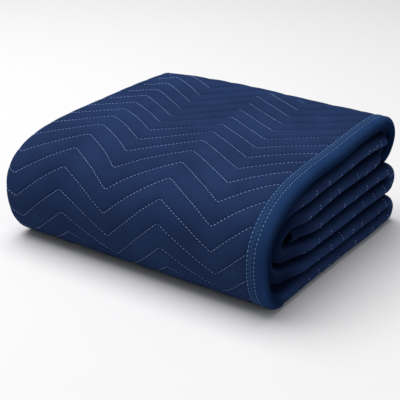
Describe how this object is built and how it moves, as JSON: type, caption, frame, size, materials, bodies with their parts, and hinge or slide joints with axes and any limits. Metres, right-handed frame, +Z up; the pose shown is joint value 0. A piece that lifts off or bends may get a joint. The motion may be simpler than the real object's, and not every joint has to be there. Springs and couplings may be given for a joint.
{
  "type": "folded moving blanket",
  "caption": "Thick quilted moving blanket folded into a flat bundle, with a rounded front, open folds behind, zigzag stitched rows and a stitched binding tape along its showing edge.",
  "frame": {"origin": "centre of the footprint on the surface the bundle rests on", "axes": "+X along the long side towards the bound end, -Y towards the rounded front, +Z up"},
  "size_m": [0.356, 0.3128, 0.1472],
  "materials": {
    "quilting": "matt quilted cloth",
    "binding": "matt woven tape"
  },
  "bodies": {
    "root": {"quilted_cloth": "quilting", "edge_binding": "binding"}
  },
  "joints": []
}
